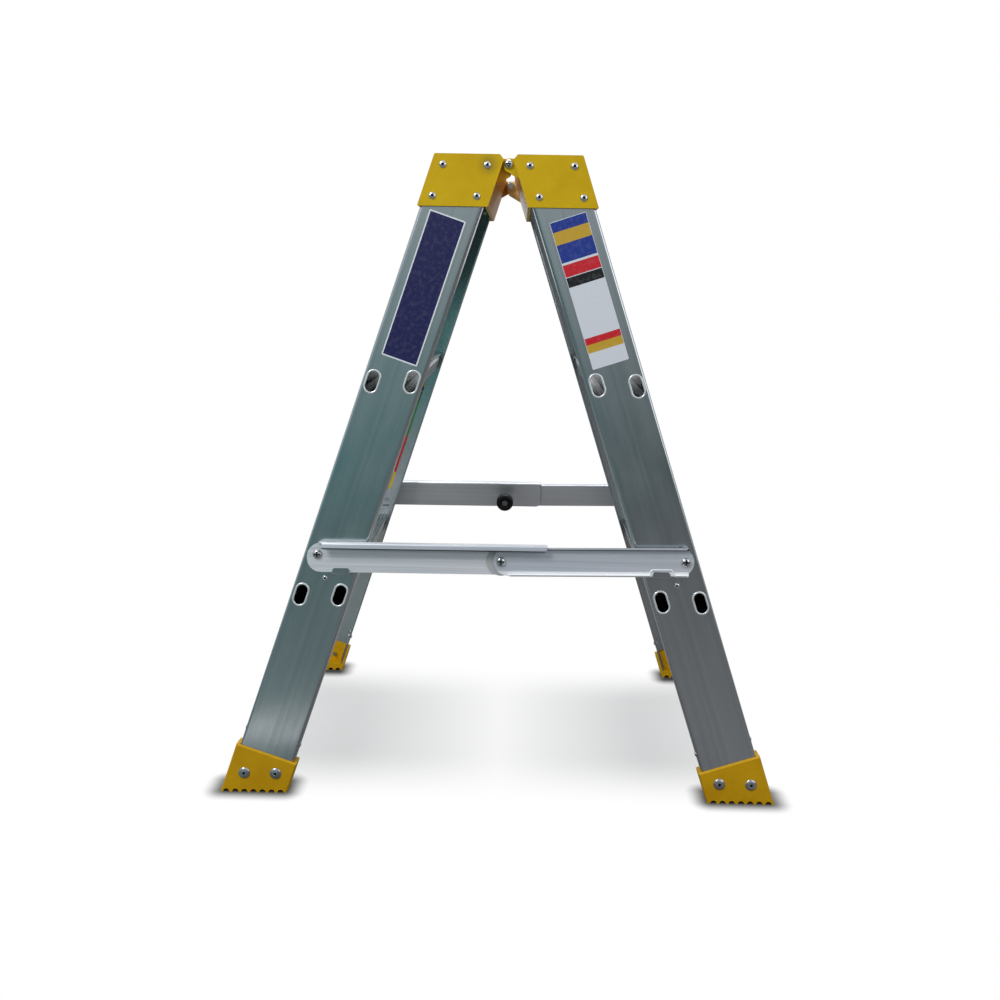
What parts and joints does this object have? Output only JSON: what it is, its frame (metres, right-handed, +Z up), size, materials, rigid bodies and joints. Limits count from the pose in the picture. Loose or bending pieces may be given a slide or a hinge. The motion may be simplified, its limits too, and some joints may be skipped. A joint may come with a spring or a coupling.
{
  "type": "trestle ladder",
  "caption": "Double-sided folding trestle ladder with C-channel stiles, flared-tube treads, hinged top caps, toothed boot feet and locking spreader bars.",
  "frame": {"origin": "centre of the standing footprint, on the floor", "axes": "+Z up, +Y along the hinge axis to the far side, +X towards the right frame"},
  "size_m": [0.7584, 0.4856, 0.851],
  "materials": {
    "aluminium": "mill finish, extruded along the length",
    "yellow_plastic": "moulded, fine grain",
    "bar_steel": "zinc plated sheet",
    "rivet_metal": "bright drawn",
    "zinc_steel": "bright zinc plated",
    "nylon": "natural nylon",
    "black_plastic": "moulded"
  },
  "bodies": {
    "left_frame": {"left_near_stile": "aluminium", "left_far_stile": "aluminium", "left_upper_tread": "aluminium", "left_lower_tread": "aluminium", "left_cap": "yellow_plastic", "left_near_foot": "yellow_plastic", "left_far_foot": "yellow_plastic", "left_cap_rivets": "rivet_metal", "left_foot_rivets": "rivet_metal", "left_flange_rivets": "rivet_metal", "left_tab_rivets": "rivet_metal", "hinge_bolts": "zinc_steel", "hinge_washers": "zinc_steel", "hinge_nuts": "zinc_steel", "left_pivot_nuts": "zinc_steel"},
    "right_frame": {"right_near_stile": "aluminium", "right_far_stile": "aluminium", "right_upper_tread": "aluminium", "right_lower_tread": "aluminium", "right_cap": "yellow_plastic", "right_near_foot": "yellow_plastic", "right_far_foot": "yellow_plastic", "right_cap_rivets": "rivet_metal", "right_foot_rivets": "rivet_metal", "right_flange_rivets": "rivet_metal", "right_tab_rivets": "rivet_metal", "right_pivot_screws": "zinc_steel", "right_pivot_spacers": "nylon", "right_pivot_nuts": "zinc_steel"},
    "near_right_bar": {"near_right_bar": "bar_steel"},
    "near_left_bar": {"near_left_bar": "bar_steel", "near_mid_screw": "zinc_steel", "near_mid_washer": "nylon", "near_knob_stem": "zinc_steel", "near_knob": "black_plastic", "near_left_screw": "zinc_steel", "near_left_spacer": "nylon"},
    "far_right_bar": {"far_right_bar": "bar_steel"},
    "far_left_bar": {"far_left_bar": "bar_steel", "far_mid_screw": "zinc_steel", "far_mid_washer": "nylon", "far_knob_stem": "zinc_steel", "far_knob": "black_plastic", "far_left_screw": "zinc_steel", "far_left_spacer": "nylon"}
  },
  "joints": [
    {"name": "fold", "type": "hinge", "parent": "left_frame", "child": "right_frame", "pos_m": [0, 0, 0.839], "axis": [0, 1, 0], "range_deg": [0, 36]},
    {"name": "near_right_pivot", "type": "hinge", "parent": "right_frame", "child": "near_right_bar", "pos_m": [0.24487, -0.20874, 0.33197], "axis": [0, 0.9957, -0.0924], "range_deg": [0, 55.21]},
    {"name": "near_mid_pivot", "type": "hinge", "parent": "near_right_bar", "child": "near_left_bar", "pos_m": [0, -0.20911, 0.32789], "axis": [0, 0.9957, -0.0924], "range_deg": [-145.98, 0]},
    {"name": "far_right_pivot", "type": "hinge", "parent": "right_frame", "child": "far_right_bar", "pos_m": [0.24487, 0.20874, 0.33197], "axis": [0, 0.9957, 0.0924], "range_deg": [0, 55.21]},
    {"name": "far_mid_pivot", "type": "hinge", "parent": "far_right_bar", "child": "far_left_bar", "pos_m": [0, 0.20911, 0.32789], "axis": [0, 0.9957, 0.0924], "range_deg": [-145.98, 0]}
  ],
  "couplings": [
    {"joint": "near_right_pivot", "follows": "fold", "ratio": 1.5253},
    {"joint": "near_mid_pivot", "follows": "fold", "ratio": -4.0465},
    {"joint": "far_right_pivot", "follows": "fold", "ratio": 1.5253},
    {"joint": "far_mid_pivot", "follows": "fold", "ratio": -4.0465}
  ]
}
